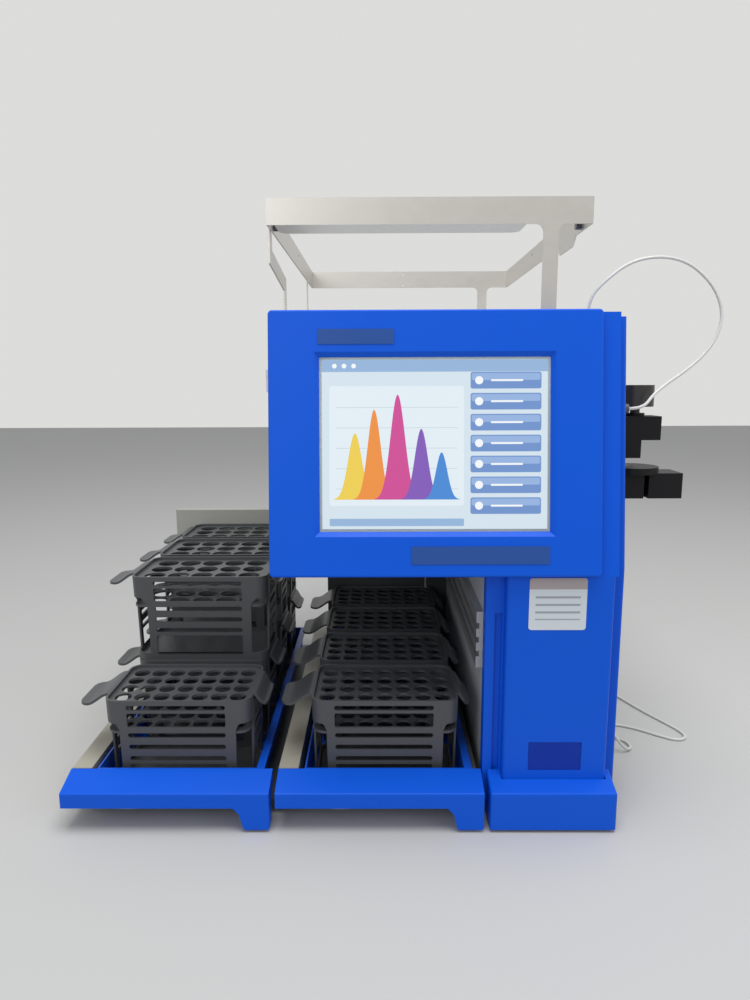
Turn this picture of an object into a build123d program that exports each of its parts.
from build123d import *
import os
from math import cos, radians, sqrt, tan

# Flash chromatography system: a base with two pull-out collection trays, a pillar, a leaning
# screen housing over the right tray, a bottle shelf on top and a column holder on the right.
# Millimetres, +Z up, the front faces -Y. Everything is built with X = 0 at the left end of the
# left tray, Y = 0 at the front of the trays and Z = 0 on the bench, then moved by save().

# Driving sizes: trays and base
tray_face_width = 205.5
face_gap = 6.0
face_floor_gap = 3.0
face_bottom = 26.0
face_crease = 41.5
face_top = 51.0
face_depth = 30.0
face_wall = 3.0
grip_width = 30.0
grip_slant = 4.5
grip_flare = 6.0
grip_depth = 14.0
foot_cover_width = 124.0
bench_foot_height = 12.0
bench_foot_radius = 12.0
base_sheet = 2.5
runner_height = 1.5
runner_width = 8.0
slide_gap = 0.3
tray_sheet = 1.5
tray_inner_width = 161.0
tray_lip = 8.0
tray_side_gap = 6.5
rail_width = 20.0
rail_wall = 1.5
bay_depth = 415.0
guide_strip_width = 4.5
back_panel_height = 228.0
back_panel_width = 181.0
back_panel_depth = 16.0
tab_width = 16.0
tab_height = 2.5

# Driving sizes: tube racks
rack_width = 150.5
rack_depth = 94.0
rack_height = 103.5
upper_rack_width = 156.0
upper_rack_height = 100.0
rack_corner = 8.2
rack_draft = 1.2
rack_wall = 2.2
rack_rim = 3.5
rack_plate = 2.5
rack_pitch = 103.7
rack_count = 4
rack_to_face = 4.5
rack_panel_half = 59.0
rack_side_panel_half = 28.0
rack_slot_half = 50.5
rack_foot_band = 9.0
rack_foot_lift = 1.5
small_tube_hole = 16.6
small_tube_pitch = 19.8
small_tube_columns = 7
small_tube_rows = 4
large_tube_hole = 24.0
large_tube_pitch = 27.4
large_tube_columns = 5
large_tube_rows = 3
hole_sides = 8
# each slot of a rack's front and back wall, below the rim: (from, to)
rack_slots = [(4.6, 10.2), (13.6, 29.0), (35.0, 40.4), (48.0, 53.4), (60.8, 66.2), (69.8, 90.0)]
left_handle_reach = 33.5
right_handle_reach = 14.0
handle_length = 58.0
handle_thickness = 2.6
handle_drop = 12.0

# Driving sizes: pillar and screen housing
bezel_height = 249.0
bezel_depth = 11.0
bezel_front_y = 7.0
bezel_bottom = 258.5
bezel_wall = 3.0
bezel_front_wall = 4.0
bezel_corner = 4.0
lean = 8.0
screen_width = 211.2
screen_height = 158.4
screen_left = 49.7
screen_bottom = 44.8
screen_border = 2.3
screen_bevel = 4.6
glass_lap = 2.0
glass_thickness = 2.0
display_depth = 10.0
moulding_wall = 3.0
second_tier_step = 19.5
second_tier_inset = 4.0
second_tier_top = 503.0
third_tier_step = 15.0
third_tier_top = 501.0
third_tier_setback = 27.0
moulding_back_y = 102.0
knee_drop = 3.0
pillar_frame_width = 104.5
pillar_to_tray = 1.5
pillar_frame_setback = 12.0
pillar_frame_margin = 18.0
pillar_panel_inset = 2.5
pillar_groove_width = 7.0
pillar_groove_depth = 4.0
pillar_edge_radius = 4.0
plate_thickness = 0.6
label_thickness = 0.4

# Driving sizes: rear case and shelf
case_sheet = 1.5
case_top = 500.0
case_floor = 262.0
case_back_y = 525.0
case_inset = 2.0
rear_sheet = 2.0
port_length = 14.0
shelf_left = 208.5
shelf_width = 309.0
shelf_front_y = 70.0
shelf_back_setback = 2.0
shelf_bottom = 585.5
shelf_band = 24.5
shelf_sheet = 1.6
shelf_flange = 40.0
shelf_leg_width = 14.6
shelf_leg_inset = 31.9
shelf_leg_fillet = 8.0

# Driving sizes: column holder and dispenser
column_offset = 33.0
column_y = 130.0
column_rail_depth = 8.0
column_rail_width = 24.0
column_rail_bottom = 120.0
column_rail_top = 490.0
clamp_fit = 0.3
upper_clamp_bottom = 377.0
upper_clamp_height = 25.0
upper_clamp_reach = 56.5
upper_leg_reach = 36.5
upper_leg_drop = 19.0
knob_radius = 18.5
knob_height = 22.5
knob_stem_radius = 5.0
knob_stem_fit = 0.05
knob_lift = 10.0
lower_clamp_bottom = 315.0
lower_clamp_height = 27.0
lower_clamp_reach = 81.5
lower_disc_radius = 27.5
lower_disc_height = 5.0
clamp_depth = 36.0
slit_width = 5.0
dispenser_rail_bottom = 147.0
dispenser_rail_height = 60.0
dispenser_rail_depth = 7.0
carriage_length = 40.0
carriage_width = 17.0
carriage_y = 385.0
arm_length = 150.0
arm_height = 14.0
arm_width = 18.0
head_width = 20.0
nozzle_radius = 1.6

# Driving sizes: rear connections, works and cooling
works_gap = 11.0
fan_size = 80.0
fan_depth = 25.0
fan_bore_radius = 38.0
fan_hub_radius = 16.0
fan_pin_radius = 3.0
fan_pin_fit = 0.05
fan_blades = 7
inlet_width = 48.0
inlet_height = 28.0
inlet_height_above_base = 55.5
rocker_width = 20.0
rocker_height = 26.0
rocker_pin_radius = 1.5
rocker_pin_fit = 0.05
rocker_tilt = 8.0
rocker_above_inlet = 38.0

# Places worked out from the driving sizes
right_face_left = tray_face_width + face_gap
foot_cover_left = right_face_left + tray_face_width + face_gap
base_top = bench_foot_height + base_sheet
tray_floor_bottom = base_top + runner_height + slide_gap
tray_floor_top = tray_floor_bottom + tray_sheet
rail_front_y = face_depth + 1.0
bay_back_y = rail_front_y + bay_depth
tray_width = tray_sheet + tray_inner_width + tray_lip
rack_base = tray_floor_top
rack_front_y = face_depth + tray_sheet + rack_to_face
rack_centre_y = rack_front_y + rack_depth / 2
bezel_left = right_face_left
pillar_frame_left = right_face_left + tray_face_width + pillar_to_tray
pillar_panel_left = pillar_frame_left + pillar_frame_margin
bezel_width = pillar_frame_left + pillar_frame_width - bezel_left
bezel_right = bezel_left + bezel_width
second_tier_right = bezel_right + second_tier_step
third_tier_right = second_tier_right + third_tier_step
pillar_panel_right = second_tier_right - pillar_panel_inset
knee_z = bezel_bottom - knee_drop
pillar_face_y = bezel_front_y + bezel_depth / cos(radians(lean)) - knee_drop * tan(radians(lean))
pillar_frame_y = pillar_face_y + pillar_frame_setback
third_tier_y = pillar_face_y + third_tier_setback
case_left = bezel_left + second_tier_inset
case_right = third_tier_right - case_inset
column_left = pillar_frame_left + 2.5
column_x = case_right + column_offset
lower_clamp_right = case_right + lower_clamp_reach
rear_end_y = case_back_y + rear_sheet + port_length
rack_middle_x = rail_width + tray_side_gap + tray_sheet + tray_inner_width / 2
fan_x = (case_left + case_right) / 2 - 55.0
fan_z = (case_floor + case_top) / 2 + 19.0
inlet_x = (column_left + case_right) / 2
inlet_z = base_top + inlet_height_above_base
leftmost_x = rack_middle_x - upper_rack_width / 2 - left_handle_reach
centre_x = (leftmost_x + lower_clamp_right) / 2
centre_y = rear_end_y / 2
shelf_leg_left = shelf_left + shelf_width - shelf_leg_inset - shelf_leg_width
lean_place = Location((bezel_left, bezel_front_y, bezel_bottom), (-lean, 0, 0))


def save(shape, name):
    """Move a finished piece into the shared frame and write it."""
    export_step(Pos(-centre_x, -centre_y, 0) * shape, "parts/" + name + ".step")


def block(x, y, z):
    """A box given by its lowest and highest X, Y and Z."""
    size = [x[1] - x[0], y[1] - y[0], z[1] - z[0]]
    return Pos(x[0], y[0], z[0]) * Box(*size, align=(Align.MIN, Align.MIN, Align.MIN))


def prism_along_x(outline, x):
    """Extrude an outline of (Y, Z) points from the lower to the upper X."""
    face = make_face(Polyline(*outline, close=True))
    return extrude(Plane.YZ.offset(x[0]) * face, amount=x[1] - x[0])


def prism_along_y(outline, y):
    """Extrude an outline of (X, Z) points from the lower to the upper Y."""
    face = make_face(Polyline(*outline, close=True))
    return extrude(Plane.XZ.offset(-y[1]) * face, amount=y[1] - y[0])


def rod(start, end, radius):
    """A round bar between two points."""
    axis = Vector(*end) - Vector(*start)
    return extrude(Plane(origin=start, z_dir=axis) * Circle(radius), amount=axis.length)


def base_pan():
    """The base sheet under both bays and the pillar, with the pressed runners of the trays."""
    left_end = block((1.0, right_face_left), (face_depth + 3.0, bay_back_y + back_panel_depth),
                     (bench_foot_height, base_top))
    main_end = block((right_face_left, case_right), (face_depth + 3.0, case_back_y),
                     (bench_foot_height, base_top))
    pan = left_end + main_end
    for tray_left in (rail_width + tray_side_gap, right_face_left + rail_width + tray_side_gap):
        for share in (0.2, 0.8):
            middle = tray_left + tray_width * share
            pan += block((middle - runner_width / 2, middle + runner_width / 2),
                         (face_depth + 8.0, bay_back_y - 10.0), (base_top, base_top + runner_height))
    return pan


def bench_feet():
    """Six round rubber feet under the base sheet."""
    feet = []
    for x in (30.0, tray_face_width + 60.0, case_right - 25.0):
        for y in (80.0, bay_back_y - 16.0):
            feet.append(rod((x, y, 0), (x, y, bench_foot_height), bench_foot_radius))
    return Compound(children=feet)


def bay_rail(left):
    """A folded channel that stands on the base sheet at the left of a tray, open below."""
    outer = block((left, left + rail_width), (rail_front_y, bay_back_y), (base_top, face_top))
    inner = block((left + rail_wall, left + rail_width - rail_wall), (rail_front_y, bay_back_y),
                  (base_top, face_top - rail_wall))
    return outer - inner


def tray_guide_strip():
    """The dark strip that guides the right side of the right tray."""
    left = right_face_left + rail_width + tray_side_gap + tray_width + slide_gap
    return block((left, left + guide_strip_width), (rail_front_y, bay_back_y), (base_top, face_top - 2.0))


def left_bay_back_panel():
    """The folded upright at the back of the left bay: a sheet with a flange all round."""
    top = base_top + back_panel_height
    right = leftmost_x + back_panel_width
    outer = block((leftmost_x, right), (bay_back_y, bay_back_y + back_panel_depth), (base_top, top))
    hollow = block((leftmost_x + rail_wall, right - rail_wall),
                   (bay_back_y + rail_wall, bay_back_y + back_panel_depth), (base_top, top - rail_wall))
    return outer - hollow


def right_bay_back_wall():
    """The dark sheet behind the right bay."""
    left = right_face_left + rail_width + 1.0
    return block((left, column_left), (bay_back_y, bay_back_y + rail_wall), (base_top, case_floor))


def tray_fascia(left):
    """The moulded front of a tray: upright face, sloping top, back lip and the grip at the right."""
    slope = (face_top - face_crease) / face_depth
    inner_drop = face_wall * sqrt(1 + slope * slope)
    outer = [(0, face_bottom), (0, face_crease), (face_depth, face_top), (face_depth, face_crease - 2.0)]
    skin_back = [(face_depth - face_wall, face_crease - 2.0),
                 (face_depth - face_wall, face_top - inner_drop - slope * face_wall),
                 (face_wall, face_crease - inner_drop + slope * face_wall), (face_wall, face_bottom)]
    right = left + tray_face_width
    fascia = prism_along_x(outer + skin_back, (left, right))
    end_outline = outer + [(face_depth / 2, face_bottom)]
    for end in (left, right - face_wall):
        fascia += prism_along_x(end_outline, (end, end + face_wall))
    fascia = fillet(fascia.edges().filter_by(Axis.X).group_by(Axis.Y)[0].sort_by(Axis.Z)[-1:], 2.0)
    grip_left = right - grip_width
    foot_left = grip_left + grip_slant
    neck = face_bottom - grip_flare
    top = face_bottom + 1.0
    grip = prism_along_y([(grip_left - grip_flare, top), (grip_left - grip_flare, face_bottom),
                          (grip_left, neck), (foot_left, face_floor_gap),
                          (right, face_floor_gap), (right, top)], (0, grip_depth))
    grip = fillet(grip.edges().filter_by(Axis.Y).group_by(Axis.Z)[0], 2.5)
    hollow = prism_along_y([(grip_left + face_wall, top), (grip_left + face_wall, neck),
                            (foot_left + face_wall, face_floor_gap + face_wall),
                            (right - face_wall, face_floor_gap + face_wall), (right - face_wall, top)],
                           (face_wall, grip_depth))
    return fascia + (grip - hollow)


def tray_pan(left):
    """The painted sheet tray: floor and four walls, the right one with a lip folded outwards."""
    right = left + tray_width
    inner_left = left + tray_sheet
    inner_right = inner_left + tray_inner_width
    back = bay_back_y - 2.0
    walls = (tray_floor_bottom, face_top)
    pan = block((left, inner_right + tray_sheet), (face_depth, back), (tray_floor_bottom, tray_floor_top))
    pan += block((left, inner_left), (face_depth, back), walls)
    pan += block((inner_right, inner_right + tray_sheet), (face_depth, back), walls)
    pan += block((inner_right, right), (face_depth, back), (face_top - tray_sheet, face_top))
    pan += block((inner_left, inner_right), (face_depth, face_depth + tray_sheet), walls)
    pan += block((inner_left, inner_right), (back - tray_sheet, back), walls)
    return pan


def tray_tab(left):
    """The small grey tab that hangs under a fascia's lower edge, on its inner face."""
    start = left + 56.0
    return block((start, start + tab_width), (face_wall, face_wall + tab_height),
                 (face_bottom - tab_height, face_crease - 6.0))


def rack_outline(width, inset):
    """The rack's rectangle with cut corners, drawn smaller all round by an inset."""
    corner = rack_corner - inset * (2 - sqrt(2))
    rectangle = Rectangle(width - 2 * inset, rack_depth - 2 * inset)
    return chamfer(rectangle.vertices(), corner)


def rack_prism(width, height, inset, bottom, top):
    """The rack's drafted form between two heights."""
    shrink = (height - top) * tan(radians(rack_draft))
    outline = Pos(0, 0, top) * rack_outline(width, inset + shrink)
    return extrude(outline, amount=top - bottom, dir=(0, 0, -1), taper=rack_draft)


def rack_handle(width, height, side, reach):
    """A curved handle that leaves the rim outwards, dips and ends in a level tip."""
    root = width / 2 - rack_wall / 2
    tip = width / 2 + reach
    fall = [(root, 0), (root + 4.0, 0), (root + 0.6 * reach, handle_drop), (tip, handle_drop)]
    upper = [(side * x, height - drop) for x, drop in fall]
    lower = [(side * (x - 0.5), height - drop - handle_thickness) for x, drop in reversed(fall)]
    handle = prism_along_y(upper + lower, (-handle_length / 2, handle_length / 2))
    tip_edges = handle.edges().filter_by(Axis.Z, tolerance=20.0)
    return chamfer(tip_edges.group_by(Axis.X)[0 if side < 0 else -1], 7.0)


def tube_rack(width, height, columns, rows, pitch, hole):
    """A moulded rack: drafted walls with slots, open corners, holed plate, floor and handles."""
    plate_top = height - rack_rim
    shell = rack_prism(width, height, 0, 0, height)
    shell -= rack_prism(width, height, rack_wall, rack_foot_lift + rack_plate, height)
    for slot_from, slot_to in rack_slots:
        shell -= block((-rack_slot_half, rack_slot_half), (-rack_depth, rack_depth),
                       (height - slot_to, height - slot_from))
    corner_top = height - 25.0
    for side in (-1, 1):
        for end in (-1, 1):
            x = sorted((side * rack_panel_half, side * width))
            y = sorted((end * rack_side_panel_half, end * rack_depth))
            shell -= block(x, y, (rack_foot_band, corner_top))
    shell -= block((-rack_panel_half + 6.0, rack_panel_half - 6.0), (-rack_depth, rack_depth),
                   (0, rack_foot_lift))
    octagon = RegularPolygon(hole / 2, hole_sides, major_radius=False, rotation=180 / hole_sides)
    holes = GridLocations(pitch, pitch, columns, rows) * octagon
    plate = rack_outline(width, rack_wall / 2) - holes
    rack = shell + extrude(Pos(0, 0, plate_top) * plate, amount=rack_plate, dir=(0, 0, -1))
    rack += rack_handle(width, height, -1, left_handle_reach)
    rack += rack_handle(width, height, 1, right_handle_reach)
    return rack


def second_tier_outline(inset):
    """The leaning section behind the bezel, as (Y, Z) points, drawn smaller by an inset."""
    face_knee = pillar_face_y + inset
    top = second_tier_top - inset
    face_top_y = face_knee + (top - knee_z) * tan(radians(lean))
    return [(face_knee, knee_z + inset), (face_top_y, top), (moulding_back_y, top),
            (moulding_back_y, knee_z + inset)]


def front_moulding():
    """Second tier and pillar face in one moulding, a shell that is open at the back."""
    upper = prism_along_x(second_tier_outline(0), (case_left, second_tier_right))
    upper_hollow = prism_along_x(second_tier_outline(moulding_wall),
                                 (case_left + moulding_wall, second_tier_right - moulding_wall))
    frame = block((pillar_frame_left, second_tier_right), (pillar_frame_y, pillar_frame_y + 15.0),
                  (base_top, knee_z + moulding_wall))
    frame_hollow = block((pillar_frame_left + moulding_wall, second_tier_right - moulding_wall),
                         (pillar_frame_y + moulding_wall + pillar_groove_depth, moulding_back_y),
                         (base_top, knee_z + 3 * moulding_wall))
    groove = block((pillar_panel_left - pillar_groove_width - 2.0, pillar_panel_left - 2.0),
                   (pillar_frame_y, pillar_frame_y + pillar_groove_depth), (base_top, knee_z - 40.0))
    panel = block((pillar_panel_left, pillar_panel_right), (pillar_face_y, pillar_frame_y + moulding_wall),
                  (base_top, knee_z))
    panel = fillet(panel.edges().filter_by(Axis.Z).group_by(Axis.Y)[0], pillar_edge_radius)
    panel_hollow = block((pillar_panel_left + moulding_wall, pillar_panel_right - moulding_wall),
                         (pillar_face_y + moulding_wall, moulding_back_y),
                         (base_top, knee_z + 3 * moulding_wall))
    window = lean_place * block((screen_left - 14.0, screen_left + screen_width + 14.0),
                                (0, bezel_depth + 20.0),
                                (screen_bottom - 14.0, screen_bottom + screen_height + 14.0))
    badge_bed = block(badge_x(), (pillar_face_y, pillar_face_y + 1.2), badge_z)
    return (upper - upper_hollow - window) + (frame - groove) + panel - frame_hollow - panel_hollow - badge_bed


badge_width = 52.5
badge_z = (56.5, 86.5)


def badge_x():
    """The badge bed's left and right ends, centred on the pillar panel."""
    middle = (pillar_panel_left + pillar_panel_right) / 2
    return (middle - badge_width / 2, middle + badge_width / 2)


def pillar_badge():
    """The bare dark plate in its bed near the foot of the pillar."""
    left, right = badge_x()
    return block((left + 0.3, right - 0.3), (pillar_face_y + 0.6, pillar_face_y + 1.2),
                 (badge_z[0] + 0.3, badge_z[1] - 0.3))


def service_label():
    """The white label stuck on the pillar under the bezel."""
    middle = (pillar_panel_left + pillar_panel_right) / 2 - 3.0
    label = block((middle - 27.5, middle + 27.5), (pillar_face_y - label_thickness, pillar_face_y),
                  (203.0, 254.5))
    return fillet(label.edges().filter_by(Axis.Y), 3.0)


def third_tier_outline(inset):
    """The side moulding's section as (Y, Z) points, drawn smaller by an inset."""
    top = third_tier_top - inset
    face = third_tier_y + inset
    return [(face, base_top), (face, knee_z), (face + (top - knee_z) * tan(radians(lean)), top),
            (moulding_back_y, top), (moulding_back_y, base_top)]


def side_moulding():
    """Third tier: the strip and side wall at the right of the pillar, from the base to the top."""
    left = second_tier_right + slide_gap
    outer = prism_along_x(third_tier_outline(0), (left, third_tier_right))
    outer = fillet(outer.edges().filter_by(Axis.X, reverse=True).group_by(Axis.X)[-1].sort_by(Axis.Y)[:2], 3.0)
    inner = prism_along_x(third_tier_outline(moulding_wall), (left - 1.0, third_tier_right - moulding_wall))
    return outer - inner


def foot_moulding():
    """The cover at the foot of the pillar: upright face, sloping top round the panel, side walls."""
    left = foot_cover_left
    right = left + foot_cover_width
    back = pillar_frame_y - slide_gap
    slope = (face_top - face_crease) / face_depth
    top_back = face_crease + slope * back
    outline = [(0, face_floor_gap), (0, face_crease), (back, top_back), (back, face_floor_gap)]
    inner = [(face_wall, face_floor_gap - 1.0), (face_wall, face_crease - face_wall),
             (back + 1.0, top_back - face_wall), (back + 1.0, face_floor_gap - 1.0)]
    cover = prism_along_x(outline, (left, right))
    cover = fillet(cover.edges().filter_by(Axis.X).group_by(Axis.Y)[0].sort_by(Axis.Z)[-1:], 2.0)
    cover = fillet(cover.edges().filter_by(Axis.Z).group_by(Axis.Y)[0], 2.5)
    cover -= prism_along_x(inner, (left + face_wall, right - face_wall))
    notch = block((pillar_panel_left - 0.4, pillar_panel_right + 0.4), (pillar_face_y - 0.4, back + 1.0),
                  (face_crease - 10.0, top_back + 10.0))
    return cover - notch


def screen_bezel():
    """The leaning blue slab round the screen, open at the back."""
    slab = block((0, bezel_width), (0, bezel_depth), (0, bezel_height))
    slab = fillet(slab.edges().filter_by(Axis.Y), bezel_corner)
    slab = fillet(slab.faces().sort_by(Axis.Y)[0].edges(), 2.0)
    hollow = block((bezel_wall, bezel_width - bezel_wall), (bezel_front_wall, bezel_depth),
                   (bezel_wall, bezel_height - bezel_wall))
    middle_x = screen_left + screen_width / 2
    middle_z = screen_bottom + screen_height / 2
    inner = Rectangle(screen_width + 2 * screen_border, screen_height + 2 * screen_border)
    outer_grow = 2 * (screen_border + screen_bevel)
    outer = Rectangle(screen_width + outer_grow, screen_height + outer_grow)
    face_plane = Plane(origin=(middle_x, 0, middle_z), x_dir=(1, 0, 0), z_dir=(0, -1, 0))
    opening = loft([face_plane * outer, face_plane.offset(-bezel_front_wall) * inner])
    return lean_place * (slab - hollow - opening)


def touch_glass():
    """The glass that lies against the back of the bezel's front wall."""
    lap = screen_border + glass_lap
    return lean_place * block((screen_left - lap, screen_left + screen_width + lap),
                              (bezel_front_wall, bezel_front_wall + glass_thickness),
                              (screen_bottom - lap, screen_bottom + screen_height + lap))


def display_module():
    """The flat display behind the glass."""
    front = bezel_front_wall + glass_thickness
    return lean_place * block((screen_left - 5.0, screen_left + screen_width + 5.0),
                              (front, front + display_depth),
                              (screen_bottom - 5.0, screen_bottom + screen_height + 5.0))


def bezel_nameplates():
    """Two bare thin plates on the bezel, above and below the screen."""
    upper = block((46.5, 117.5), (-plate_thickness, 0), (217.0, 231.0))
    lower = block((133.0, 262.5), (-plate_thickness, 0), (12.0, 29.0))
    return lean_place * Compound(children=[upper, lower])


def clear_clip():
    """The small clear clip on the left side of the housing, with its slit."""
    clip = block((case_left - 12.0, case_left), (58.0 + 14.0, 86.0), (429.0, 451.0))
    return clip - block((case_left - 12.0, case_left - 4.0), (77.5, 80.5), (429.0, 451.0))


def rear_case():
    """The folded steel case: a box over the bay and a column down to the base, open front and back."""
    outer = [(case_left, case_floor), (column_left, case_floor), (column_left, base_top),
             (case_right, base_top), (case_right, case_top), (case_left, case_top)]
    wall = case_sheet
    inner = [(case_left + wall, case_floor + wall), (column_left + wall, case_floor + wall),
             (column_left + wall, base_top), (case_right - wall, base_top),
             (case_right - wall, case_top - wall), (case_left + wall, case_top - wall)]
    span = (moulding_back_y, case_back_y)
    case = prism_along_y(outer, span) - prism_along_y(inner, span)
    front_wing = block((column_left, column_left + wall),
                       (pillar_frame_y + 15.0 + slide_gap, moulding_back_y),
                       (base_top, knee_z - slide_gap))
    return case + front_wing


def rear_panel():
    """The flat rear sheet with vents, the fan opening and the inlet cut-outs."""
    back = (case_back_y, case_back_y + rear_sheet)
    outline = [(case_left, case_floor), (column_left, case_floor), (column_left, base_top),
               (case_right, base_top), (case_right, case_top), (case_left, case_top)]
    panel = prism_along_y(outline, back)
    panel -= rod((fan_x, back[0], fan_z), (fan_x, back[1], fan_z), fan_bore_radius)
    for row in range(8):
        height = case_floor + 58.0 + 14.0 * row
        panel -= block((case_right - 125.0, case_right - 35.0), back, (height, height + 5.0))
    panel -= block((inlet_x - inlet_width / 2, inlet_x + inlet_width / 2), back,
                   (inlet_z - inlet_height / 2, inlet_z + inlet_height / 2))
    rocker_z = inlet_z + rocker_above_inlet
    panel -= block((inlet_x - rocker_width / 2 - 2.0, inlet_x + rocker_width / 2 + 2.0), back,
                   (rocker_z - rocker_height / 2 - 2.0, rocker_z + rocker_height / 2 + 2.0))
    return panel


def mains_inlet():
    """The recessed three-pin inlet and the frame of the switch, in one moulded unit."""
    outside = case_back_y + rear_sheet
    rocker_z = inlet_z + rocker_above_inlet
    body = block((inlet_x - inlet_width / 2 + 0.2, inlet_x + inlet_width / 2 - 0.2),
                 (outside - 24.0, outside),
                 (inlet_z - inlet_height / 2 + 0.2, inlet_z + inlet_height / 2 - 0.2))
    flange = block((inlet_x - inlet_width / 2 - 4.0, inlet_x + inlet_width / 2 + 4.0),
                   (outside, outside + 2.0),
                   (inlet_z - inlet_height / 2 - 4.0, rocker_z + rocker_height / 2 + 6.0))
    frame = block((inlet_x - rocker_width / 2 - 1.8, inlet_x + rocker_width / 2 + 1.8),
                  (outside - 14.0, outside),
                  (rocker_z - rocker_height / 2 - 1.8, rocker_z + rocker_height / 2 + 1.8))
    socket = block((inlet_x - 13.0, inlet_x + 13.0), (outside - 16.0, outside + 2.0),
                   (inlet_z - 8.5, inlet_z + 8.5))
    well = block((inlet_x - rocker_width / 2 - 0.4, inlet_x + rocker_width / 2 + 0.4),
                 (outside - 12.0, outside + 2.0),
                 (rocker_z - rocker_height / 2 - 0.4, rocker_z + rocker_height / 2 + 0.4))
    unit = body + flange + frame - socket - well
    for dx, dz in ((-7.0, -2.0), (0.0, 3.0), (7.0, -2.0)):
        unit += rod((inlet_x + dx, outside - 16.5, inlet_z + dz),
                    (inlet_x + dx, outside - 4.0, inlet_z + dz), 1.4)
    pin_bore = rod((inlet_x - rocker_width / 2 - 1.3, outside - 4.0, rocker_z),
                   (inlet_x + rocker_width / 2 + 1.3, outside - 4.0, rocker_z),
                   rocker_pin_radius + rocker_pin_fit)
    return unit - pin_bore


def power_switch():
    """The rocker of the mains switch, tilted to one of its two places on its pivot pin."""
    outside = case_back_y + rear_sheet
    rocker_z = inlet_z + rocker_above_inlet
    half = rocker_height / 2
    outline = [(outside - 7.0, rocker_z - half + 4.0), (outside + 1.0, rocker_z - half + 0.8),
               (outside + 2.6, rocker_z - half + 1.6), (outside + 0.4, rocker_z),
               (outside + 2.6, rocker_z + half - 1.6), (outside + 1.0, rocker_z + half - 0.8),
               (outside - 7.0, rocker_z + half - 4.0)]
    rocker = prism_along_x(outline, (inlet_x - rocker_width / 2, inlet_x + rocker_width / 2))
    pin = rod((inlet_x - rocker_width / 2 - 1.0, outside - 4.0, rocker_z),
              (inlet_x + rocker_width / 2 + 1.0, outside - 4.0, rocker_z), rocker_pin_radius)
    pivot = Pos(0, outside - 4.0, rocker_z)
    return pivot * Rot(-rocker_tilt, 0, 0) * pivot.inverse() * (rocker + pin)


def fan_frame():
    """The square fan frame with its bore, spider arms and the fixed hub pin."""
    back = case_back_y
    front = back - fan_depth
    frame = block((fan_x - fan_size / 2, fan_x + fan_size / 2), (front, back),
                  (fan_z - fan_size / 2, fan_z + fan_size / 2))
    frame -= rod((fan_x, front, fan_z), (fan_x, back, fan_z), fan_bore_radius)
    for tilt in (45, 135):
        arm = block((-fan_bore_radius - 1.0, fan_bore_radius + 1.0), (front, front + 3.0), (-2.5, 2.5))
        frame += Pos(fan_x, 0, fan_z) * Rot(0, tilt, 0) * arm
    frame += rod((fan_x, front, fan_z), (fan_x, front + 5.0, fan_z), fan_hub_radius)
    frame += rod((fan_x, front + 4.0, fan_z), (fan_x, back - 5.0, fan_z), fan_pin_radius)
    return frame


def fan_rotor():
    """The rotor: a hub that turns on the pin, with slanting blades."""
    front = case_back_y - fan_depth + 6.0
    back = case_back_y - 3.0
    rotor = rod((fan_x, front, fan_z), (fan_x, back, fan_z), fan_hub_radius - 1.0)
    blade = block((fan_hub_radius - 2.0, fan_bore_radius - 2.0), (-7.5, 7.5), (-0.9, 0.9))
    for number in range(fan_blades):
        turned = Rot(0, 360 / fan_blades * number, 0) * Rot(40, 0, 0) * blade
        rotor += Pos(fan_x, (front + back) / 2, fan_z) * turned
    return rotor - rod((fan_x, front, fan_z), (fan_x, back - 1.5, fan_z), fan_pin_radius + fan_pin_fit)


def fan_guard():
    """The wire guard outside the fan: square rings on a cross of four legs."""
    start = case_back_y + rear_sheet
    guard = None
    for half in (12.0, 24.0, 36.0):
        ring = block((-half, half), (start + 2.0, start + 4.0), (-half, half))
        ring -= block((-half + 2.0, half - 2.0), (start + 2.0, start + 4.0), (-half + 2.0, half - 2.0))
        guard = ring if guard is None else guard + ring
    for tilt in (45, 135):
        guard += Rot(0, tilt, 0) * block((-54.0, 54.0), (start, start + 2.0), (-1.5, 1.5))
    return Pos(fan_x, 0, fan_z) * guard


def solvent_port(x, z):
    """A hexagon port on the rear panel, with its tube socket."""
    start = case_back_y + rear_sheet
    face = Plane(origin=(x, start, z), x_dir=(1, 0, 0), z_dir=(0, 1, 0))
    port = extrude(face * RegularPolygon(7.0, 6), amount=6.0)
    port += rod((x, start, z), (x, rear_end_y, z), 4.0)
    return port - rod((x, rear_end_y - 8.0, z), (x, rear_end_y, z), 1.7)


loop_fitting = (case_right - 25.5, moulding_back_y + 13.0)
side_fitting = (moulding_back_y - 10.0, 411.0)
low_fittings = ((case_back_y - 125.0, 60.0), (moulding_back_y + 58.0, 36.0))
fitting_length = 10.0


def tube_fittings():
    """Nuts for the free tubes on top, at the side and low at the right, and the rear ports."""
    x, y = loop_fitting
    top = rod((x, y, case_top), (x, y, case_top + fitting_length), 5.0)
    y, z = side_fitting
    side = rod((third_tier_right, y, z), (third_tier_right + fitting_length, y, z), 5.0)
    low = [rod((case_right, y, z), (case_right + fitting_length, y, z), 5.0) for y, z in low_fittings]
    ports = [solvent_port(case_left + 34.5 + 30.0 * number, case_floor + 28.0) for number in range(4)]
    return Compound(children=[top, side] + low + ports)


def pump_heads():
    """Two piston pump heads side by side on a common block."""
    left = column_left + works_gap
    right = case_right - works_gap
    front = pillar_frame_y + 100.0
    pumps = block((left, right), (front, front + 70.0), (base_top, base_top + 75.0))
    for x in (left + (right - left) / 4, right - (right - left) / 4):
        pumps += rod((x, front, base_top + 40.0), (x, front - 22.0, base_top + 40.0), 16.0)
        pumps += rod((x, front - 11.0, base_top + 54.0), (x, front - 11.0, base_top + 67.0), 5.0)
    return pumps


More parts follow.
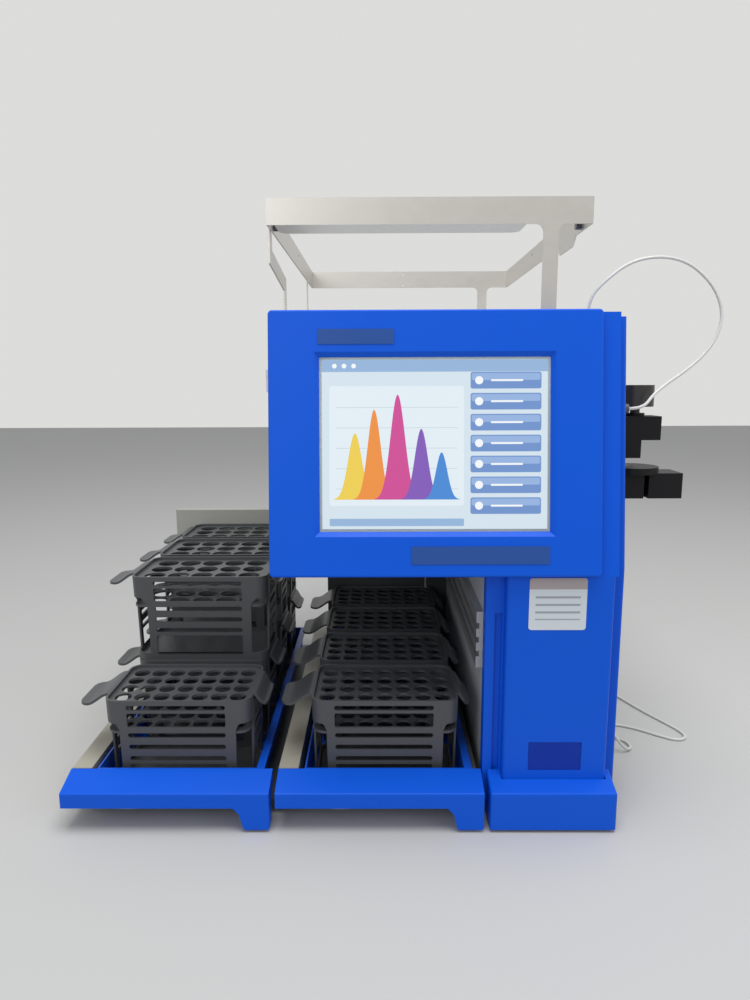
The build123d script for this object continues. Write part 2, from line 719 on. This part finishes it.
def selector_valve():
    """The round selector valve on a bracket behind the pumps."""
    middle = (column_left + case_right) / 2
    front = pillar_frame_y + 210.0
    axis_z = base_top + 100.0
    valve = block((middle - 35.0, middle + 35.0), (front, front + 4.0), (base_top, axis_z + 35.0))
    valve += rod((middle, front, axis_z), (middle, front - 18.0, axis_z), 22.0)
    valve += block((middle - 23.0, middle + 23.0), (front + 4.0, front + 50.0),
                   (axis_z - 23.0, axis_z + 23.0))
    return valve


def flow_detector():
    """The detector box with its lamp housing, on the floor of the upper case."""
    floor = case_floor + case_sheet
    left = case_left + 19.5
    front = moulding_back_y + 218.0
    detector = block((left, left + 110.0), (front, case_back_y - 85.0), (floor, floor + 60.0))
    return detector + rod((left + 55.0, front, floor + 30.0), (left + 55.0, front - 24.0, floor + 30.0),
                          20.0)


def power_supply():
    """The enclosed power supply at the foot of the column."""
    left = column_left + works_gap
    back = case_back_y - 25.0
    return block((left, left + 30.0), (back - 150.0, back), (base_top, base_top + 95.0))


def control_board():
    """The controller board on four standoffs, with its larger components."""
    floor = case_floor + case_sheet
    left = case_left + 14.5
    front = moulding_back_y + 28.0
    board = block((left, left + 170.0), (front, front + 130.0), (floor + 8.0, floor + 9.6))
    for x in (left + 6.0, left + 164.0):
        for y in (front + 6.0, front + 124.0):
            board += rod((x, y, floor), (x, y, floor + 8.0), 3.0)
    board += block((left + 60.0, left + 100.0), (front + 40.0, front + 80.0), (floor + 9.6, floor + 16.0))
    board += block((left + 120.0, left + 160.0), (front + 10.0, front + 30.0), (floor + 9.6, floor + 24.0))
    return board


def leg_outline(foot):
    """A shelf leg and its two fillets as an (X, Z) face, down to its foot."""
    right = shelf_leg_left + shelf_leg_width
    band = Pos((shelf_leg_left + right) / 2, shelf_bottom + 4.0) * Rectangle(shelf_leg_width + 40.0, 8.0)
    leg = Pos((shelf_leg_left + right) / 2, (shelf_bottom + foot) / 2 + 2.0) * Rectangle(
        shelf_leg_width, shelf_bottom - foot + 4.0)
    joined = band + leg
    corners = [v for v in joined.vertices() if abs(v.Y - shelf_bottom) < 0.01 and abs(v.X - right) < 1.0]
    corners += [v for v in joined.vertices() if abs(v.Y - shelf_bottom) < 0.01 and abs(v.X - shelf_leg_left) < 1.0]
    return fillet(corners, shelf_leg_fillet)


def shelf_frame():
    """The bottle shelf: one folded stainless sheet, a ring of four bands with flange and legs."""
    right = shelf_left + shelf_width
    back = case_back_y - shelf_back_setback
    top = shelf_bottom + shelf_band
    sheet = shelf_sheet
    frame = block((shelf_left, right), (shelf_front_y, back), (shelf_bottom, top))
    frame -= block((shelf_left + sheet, right - sheet), (shelf_front_y + sheet, back - sheet),
                   (shelf_bottom, top))
    flange = block((shelf_left + 7.5, shelf_leg_left - 16.0),
                   (shelf_front_y + sheet, shelf_front_y + shelf_flange),
                   (shelf_bottom, shelf_bottom + sheet))
    frame += fillet(flange.edges().filter_by(Axis.Z).group_by(Axis.Y)[-1], 10.0)
    front_leg = Plane.XZ.offset(-shelf_front_y - sheet) * leg_outline(second_tier_top)
    frame += extrude(front_leg, amount=sheet)
    back_leg = Plane.XZ.offset(-back) * leg_outline(case_top)
    frame += extrude(back_leg, amount=sheet)
    strip_y = shelf_front_y + 8.0
    foot_y = strip_y + 102.0
    front_strip = [(strip_y, shelf_bottom + 4.0), (strip_y, shelf_bottom - 33.5),
                   (foot_y, shelf_bottom - 46.0),
                   (foot_y, case_top), (foot_y + 16.0, case_top), (foot_y + 16.0, shelf_bottom - 31.5),
                   (strip_y + 16.0, shelf_bottom - 19.0), (strip_y + 16.0, shelf_bottom + 4.0)]
    frame += prism_along_x(front_strip, (shelf_left, shelf_left + sheet))
    frame += block((shelf_left, shelf_left + sheet), (back - 93.0, back - 77.0),
                   (case_top, shelf_bottom + 4.0))
    tab_y = shelf_front_y + 55.0
    tab = [(tab_y, shelf_bottom + 1.0), (tab_y + 12.0, shelf_bottom - 9.0),
           (tab_y + 63.0, shelf_bottom - 9.0),
           (tab_y + 75.0, shelf_bottom + 1.0)]
    frame += prism_along_x(tab, (right - sheet, right))
    for y in (shelf_front_y + 66.0, shelf_front_y + 260.0):
        for x in (shelf_left, right - sheet):
            frame -= block((x, x + sheet), (y - 5.0, y + 5.0), (shelf_bottom + 14.0, shelf_bottom + 17.0))
    for z in (shelf_bottom + 3.0, shelf_bottom + 19.0):
        hole_x = (shelf_left + right) / 2 - 10.0
        frame -= rod((hole_x, back - sheet - 1.0, z), (hole_x, back + 1.0, z), 1.3)
    return frame


def shelf_screws():
    """The dark screws in the shelf's side bands, their heads on the inside."""
    screws = []
    for x, out in ((shelf_left + shelf_sheet, 1), (shelf_left + shelf_width - shelf_sheet, -1)):
        y = shelf_front_y + 38.0
        screws.append(rod((x, y, shelf_bottom + 6.0), (x + 5.0 * out, y, shelf_bottom + 6.0), 4.0))
    return Compound(children=screws)


def column_rail():
    """The grooved upright rail on the right side of the case that the clamps slide on."""
    half = column_rail_width / 2
    rail = block((case_right, case_right + column_rail_depth), (column_y - half, column_y + half),
                 (column_rail_bottom, column_rail_top))
    for side in (-1, 1):
        y = sorted((column_y + side * half, column_y + side * (half - 3.0)))
        rail -= block((case_right + 2.5, case_right + 5.5), y, (column_rail_bottom, column_rail_top))
    return rail


def clamp_slider(bottom, top):
    """The C-shaped slider that wraps the rail's grooves."""
    half = column_rail_width / 2
    face = case_right + column_rail_depth
    y = (column_y - clamp_depth / 2, column_y + clamp_depth / 2)
    slider = block((face + clamp_fit, face + 10.0), y, (bottom, top))
    for side in (-1, 1):
        wall_y = sorted((column_y + side * (half + clamp_fit), column_y + side * clamp_depth / 2))
        slider += block((case_right + 2.5 + clamp_fit, face + 5.0), wall_y, (bottom, top))
        tongue_y = sorted((column_y + side * (half - 3.0 + clamp_fit), column_y + side * (half + 2.0)))
        slider += block((case_right + 2.5 + clamp_fit, case_right + 5.5 - clamp_fit), tongue_y,
                        (bottom, top))
    return slider


def upper_clamp():
    """The upper block on its slider, with a downward leg and the disc under the knob."""
    top = upper_clamp_bottom + upper_clamp_height
    face = case_right + column_rail_depth
    y = (column_y - clamp_depth / 2 + 3.0, column_y + clamp_depth / 2 - 3.0)
    clamp = clamp_slider(upper_clamp_bottom - upper_leg_drop, top)
    clamp += block((face + 9.0, case_right + upper_clamp_reach), y, (upper_clamp_bottom, top))
    clamp += block((face + 9.0, case_right + upper_leg_reach), y, (upper_clamp_bottom - upper_leg_drop, top))
    clamp += rod((column_x, column_y, top - 1.0), (column_x, column_y, top + 3.0), 10.0)
    bore_top = top + 3.0
    return clamp - rod((column_x, column_y, top - 12.0), (column_x, column_y, bore_top),
                       knob_stem_radius + knob_stem_fit)


def clamp_knob():
    """The knurled knob on its stem, standing in the upper clamp."""
    top = upper_clamp_bottom + upper_clamp_height
    knob = rod((column_x, column_y, top + knob_lift),
               (column_x, column_y, top + knob_lift + knob_height), knob_radius)
    return knob + rod((column_x, column_y, top - 11.0), (column_x, column_y, top + knob_lift),
                      knob_stem_radius)


def lower_clamp():
    """The lower block on its slider, slit at the front, with the column's round seat on top."""
    top = lower_clamp_bottom + lower_clamp_height
    face = case_right + column_rail_depth
    y = (column_y - clamp_depth / 2, column_y + clamp_depth / 2)
    clamp = clamp_slider(lower_clamp_bottom, top)
    clamp += block((face + 9.0, lower_clamp_right), y, (lower_clamp_bottom, top))
    slit_x = (case_right + 41.0, case_right + 41.0 + slit_width)
    clamp -= block(slit_x, (y[0], y[0] + 12.0), (lower_clamp_bottom, top - 1.0))
    seat = rod((column_x, column_y, top - 1.0), (column_x, column_y, top + lower_disc_height + 1.0),
               lower_disc_radius)
    seat -= block((column_x - 40.0, case_right + column_rail_depth + clamp_fit),
                  (column_y - 40.0, column_y + 40.0),
                  (top - 2.0, top + lower_disc_height + 2.0))
    clamp += seat
    return clamp - rod((column_x, column_y, top - 6.0),
                       (column_x, column_y, top + lower_disc_height + 1.0), 2.1)


def dispenser_rail():
    """The grooved aluminium rail on the pillar's inner side, running front to back."""
    x = (column_left - dispenser_rail_depth, column_left)
    top = dispenser_rail_bottom + dispenser_rail_height
    rail = block(x, (pillar_frame_y + 30.0, bay_back_y - 6.0), (dispenser_rail_bottom, top))
    for height in (12.0, 27.0, 42.0):
        rail -= block((x[0], x[0] + 3.0), (pillar_frame_y + 30.0, bay_back_y - 6.0),
                      (dispenser_rail_bottom + height, dispenser_rail_bottom + height + 6.0))
    return rail


def dispenser_carriage():
    """The carriage that runs on the aluminium rail, with its arm across the bay."""
    right = column_left - dispenser_rail_depth - slide_gap
    low = dispenser_rail_bottom + 5.0
    carriage = block((right - carriage_width, right), (carriage_y, carriage_y + carriage_length),
                     (low, low + 50.0))
    arm_y = carriage_y + (carriage_length - arm_width) / 2
    carriage += block((right - carriage_width - arm_length, right - carriage_width + 1.0),
                      (arm_y, arm_y + arm_width), (low + 28.0, low + 28.0 + arm_height))
    return carriage


def head_place():
    """The dispenser head's left end, middle Y and the arm's underside."""
    right = column_left - dispenser_rail_depth - slide_gap - carriage_width
    return right - 2.0 - head_width, carriage_y + carriage_length / 2, dispenser_rail_bottom + 33.0


def dispenser_head():
    """The head that runs along the arm: a sleeve closed round it."""
    left, middle_y, arm_bottom = head_place()
    half = arm_width / 2
    outer = block((left, left + head_width), (middle_y - half - 6.0, middle_y + half + 6.0),
                  (arm_bottom - 14.0, arm_bottom + arm_height + 5.0))
    return outer - block((left, left + head_width),
                         (middle_y - half - slide_gap, middle_y + half + slide_gap),
                         (arm_bottom - slide_gap, arm_bottom + arm_height + slide_gap))


def dispenser_nozzle():
    """The needle under the head that drops liquid into the tubes."""
    left, middle_y, arm_bottom = head_place()
    x = left + head_width / 2
    collar = rod((x, middle_y, arm_bottom - 20.0), (x, middle_y, arm_bottom - 14.0), 4.0)
    return collar + rod((x, middle_y, rack_base + rack_height + 8.0), (x, middle_y, arm_bottom - 19.0),
                        nozzle_radius)


tube_radius = 1.6
# routes of the two free tubes, in the shared frame
loop_route = [(213.0, -155.5, 510.1), (213.0, -155.5, 523.0), (231.0, -155.5, 542.0), (254.0, -155.5, 558.5),
              (282.5, -155.5, 563.5), (309.0, -155.5, 558.5), (330.0, -156.5, 543.0), (344.0, -157.5, 524.0),
              (349.3, -158.5, 502.0), (343.0, -160.5, 481.0), (330.0, -162.5, 463.7), (312.0, -164.5, 448.5),
              (293.0, -167.0, 436.0), (278.0, -172.0, 425.0), (266.0, -178.5, 411.0), (250.6, -178.5, 411.0)]
bench_route = [(248.6, 129.5, 60.0), (270.0, 129.5, 60.0), (284.0, 122.0, 44.0), (294.0, 108.0, 24.0),
               (305.0, 88.0, 7.0), (320.0, 58.0, 1.8), (335.0, 20.0, 1.8), (350.0, -16.0, 1.8),
               (368.0, -50.0, 1.8), (379.5, -74.5, 1.8), (377.5, -88.5, 1.8), (364.5, -94.0, 1.8),
               (346.0, -82.0, 1.8), (327.0, -66.0, 1.8), (304.0, -53.5, 1.8), (282.0, -54.0, 1.8),
               (268.0, -66.0, 1.8), (274.0, -82.0, 1.8), (290.0, -88.0, 1.8), (301.0, -97.0, 1.8),
               (302.0, -111.0, 1.8), (292.0, -121.0, 4.0), (280.0, -118.0, 18.0), (270.5, -110.5, 36.0),
               (248.6, -110.5, 36.0)]


def cord_radii(route):
    """The bend radius at each inner point: 0.45 of the shorter run over the tangent of half the turn."""
    radii = []
    for before, here, after in zip(route, route[1:], route[2:]):
        run_in = Vector(*here) - Vector(*before)
        run_out = Vector(*after) - Vector(*here)
        turn = radians(run_in.get_angle(run_out))
        radii.append(0.45 * min(run_in.length, run_out.length) / tan(turn / 2))
    return radii


def free_tube(route, name):
    """A tube swept along straight runs joined by tangent arcs."""
    radii = cord_radii(route)
    print(name, "radii", [round(radius, 1) for radius in radii])
    path = FilletPolyline(*route, radius=radii)
    start = Plane(origin=path @ 0, z_dir=path % 0)
    tube = sweep(start * Circle(tube_radius), path=path)
    print(name, "length", round(path.length, 1), "volume share",
          round(tube.volume / (path.length * 8.0425), 4))
    return tube


os.makedirs("parts", exist_ok=True)

pieces = {
    "base_pan": base_pan(),
    "bench_feet": bench_feet(),
    "left_bay_rail": bay_rail(0.5),
    "right_bay_rail": bay_rail(right_face_left),
    "tray_guide_strip": tray_guide_strip(),
    "left_bay_back_panel": left_bay_back_panel(),
    "right_bay_back_wall": right_bay_back_wall(),
    "front_moulding": front_moulding(),
    "side_moulding": side_moulding(),
    "foot_moulding": foot_moulding(),
    "screen_bezel": screen_bezel(),
    "touch_glass": touch_glass(),
    "display_module": display_module(),
    "bezel_nameplates": bezel_nameplates(),
    "pillar_badge": pillar_badge(),
    "service_label": service_label(),
    "clear_clip": clear_clip(),
    "rear_case": rear_case(),
    "rear_panel": rear_panel(),
    "mains_inlet": mains_inlet(),
    "power_switch": power_switch(),
    "fan_frame": fan_frame(),
    "fan_rotor": fan_rotor(),
    "fan_guard": fan_guard(),
    "tube_fittings": tube_fittings(),
    "pump_heads": pump_heads(),
    "selector_valve": selector_valve(),
    "flow_detector": flow_detector(),
    "power_supply": power_supply(),
    "control_board": control_board(),
    "shelf_frame": shelf_frame(),
    "shelf_screws": shelf_screws(),
    "column_rail": column_rail(),
    "upper_clamp": upper_clamp(),
    "clamp_knob": clamp_knob(),
    "lower_clamp": lower_clamp(),
    "dispenser_rail": dispenser_rail(),
    "dispenser_carriage": dispenser_carriage(),
    "dispenser_head": dispenser_head(),
    "dispenser_nozzle": dispenser_nozzle(),
}

small_rack = tube_rack(rack_width, rack_height, small_tube_columns, small_tube_rows,
                       small_tube_pitch, small_tube_hole)
large_rack = tube_rack(upper_rack_width, upper_rack_height, large_tube_columns, large_tube_rows,
                       large_tube_pitch, large_tube_hole)
for side, face_left in (("left", 0), ("right", right_face_left)):
    pan_left = face_left + rail_width + tray_side_gap
    pieces[side + "_tray_fascia"] = tray_fascia(face_left)
    pieces[side + "_tray_pan"] = tray_pan(pan_left)
    pieces[side + "_tray_tab"] = tray_tab(face_left)
    for number in range(rack_count):
        place = Pos(pan_left + tray_sheet + tray_inner_width / 2, rack_centre_y + rack_pitch * number,
                    rack_base)
        pieces[side + "_rack_" + str(number + 1)] = place * small_rack
        if side == "left" and number > 0:
            pieces["upper_rack_" + str(number + 1)] = place * Pos(0, 0, rack_height) * large_rack

for name, shape in pieces.items():
    save(shape, name)

export_step(free_tube(loop_route, "loop_tube"), "parts/loop_tube.step")
export_step(free_tube(bench_route, "bench_tube"), "parts/bench_tube.step")
